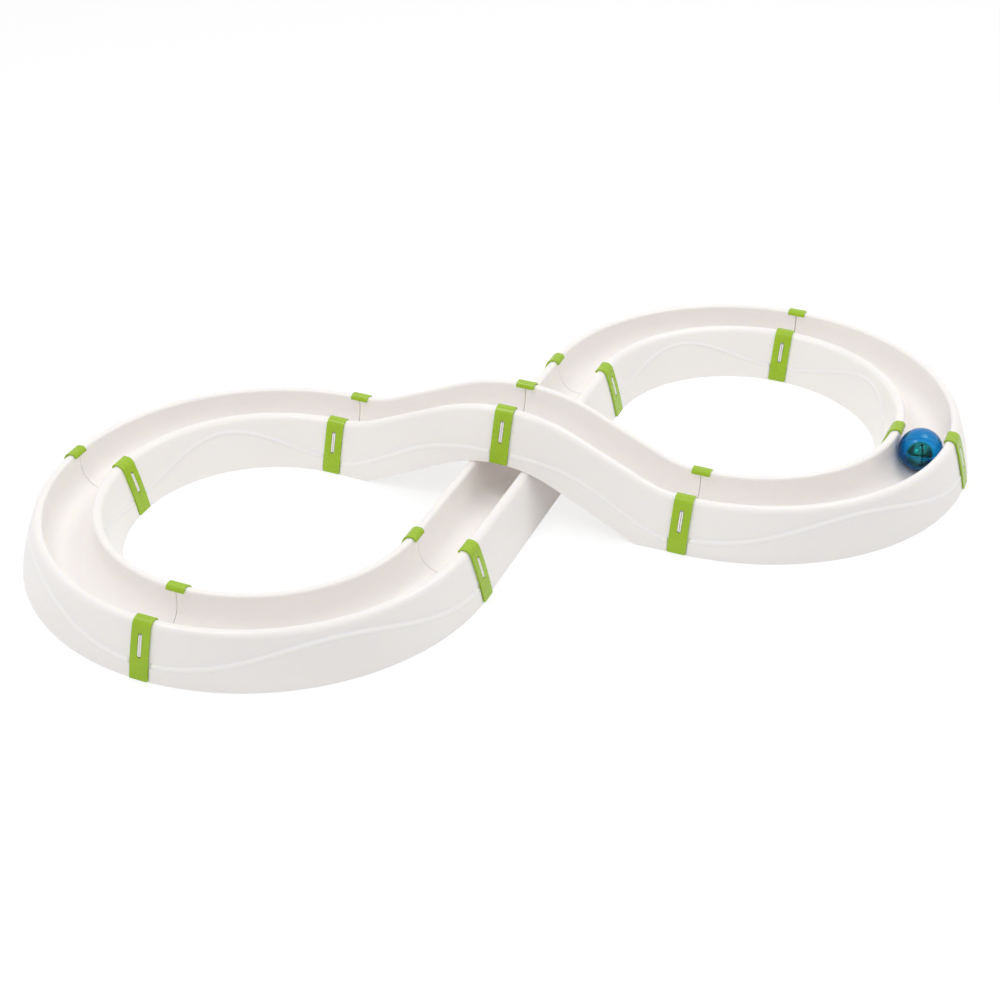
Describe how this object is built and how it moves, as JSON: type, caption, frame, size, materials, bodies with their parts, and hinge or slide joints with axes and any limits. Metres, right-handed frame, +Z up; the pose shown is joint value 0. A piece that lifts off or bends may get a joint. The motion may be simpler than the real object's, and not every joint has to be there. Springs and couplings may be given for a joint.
{
  "type": "cat ball track toy",
  "caption": "Figure-eight cat ball track with a humped bridge, clipped track sections and a clear blue ball with a bell inside.",
  "frame": {"origin": "on the floor under the crossing, at the middle of the footprint", "axes": "+X along the length to the loop that holds the ball, +Y to the back, +Z up"},
  "size_m": [0.8324, 0.3912, 0.0924],
  "materials": {
    "track_plastic": "semi-gloss moulded white plastic",
    "clip_plastic": "semi-gloss moulded lime green plastic",
    "ball_plastic": "clear blue plastic, glossy",
    "bell_metal": "bright gold-coloured stamped metal",
    "pellet_metal": "plain steel pellet"
  },
  "bodies": {
    "track": {"curve_right_front": "track_plastic", "curve_right_end": "track_plastic", "curve_right_back": "track_plastic", "curve_left_front": "track_plastic", "curve_left_end": "track_plastic", "curve_left_back": "track_plastic", "straight_low": "track_plastic", "ramp_left": "track_plastic", "ramp_right": "track_plastic", "clip_1_outer": "clip_plastic", "clip_1_inner": "clip_plastic", "clip_2_front": "clip_plastic", "clip_2_back": "clip_plastic", "clip_3_outer": "clip_plastic", "clip_3_inner": "clip_plastic", "clip_4_outer": "clip_plastic", "clip_4_inner": "clip_plastic", "clip_5_outer": "clip_plastic", "clip_5_inner": "clip_plastic", "clip_6_outer": "clip_plastic", "clip_6_inner": "clip_plastic", "clip_7_outer": "clip_plastic", "clip_7_inner": "clip_plastic", "clip_8_outer": "clip_plastic", "clip_8_inner": "clip_plastic", "clip_9_outer": "clip_plastic", "clip_9_inner": "clip_plastic"},
    "bell": {"bell_upper_cup": "bell_metal", "bell_lower_cup": "bell_metal"},
    "ball": {"ball_upper_shell": "ball_plastic", "ball_lower_shell": "ball_plastic"},
    "pellet": {"bell_pellet": "pellet_metal"}
  },
  "joints": [
    {"name": "ball_travel", "type": "hinge", "parent": "track", "child": "bell", "pos_m": [0.22062, 0, 0], "axis": [0, 0, 1], "range_deg": [-87, 182]},
    {"name": "ball_roll", "type": "hinge", "parent": "bell", "child": "ball", "pos_m": [0.32541, -0.11557, 0.0308], "axis": [0.6717, -0.7408, 0], "continuous": true},
    {"name": "pellet_swing", "type": "hinge", "parent": "bell", "child": "pellet", "pos_m": [0.32541, -0.11557, 0.02558], "axis": [0.6717, -0.7408, 0], "range_deg": [-75, 75]}
  ],
  "couplings": [
    {"joint": "ball_roll", "follows": "ball_travel", "ratio": -8.4324}
  ]
}
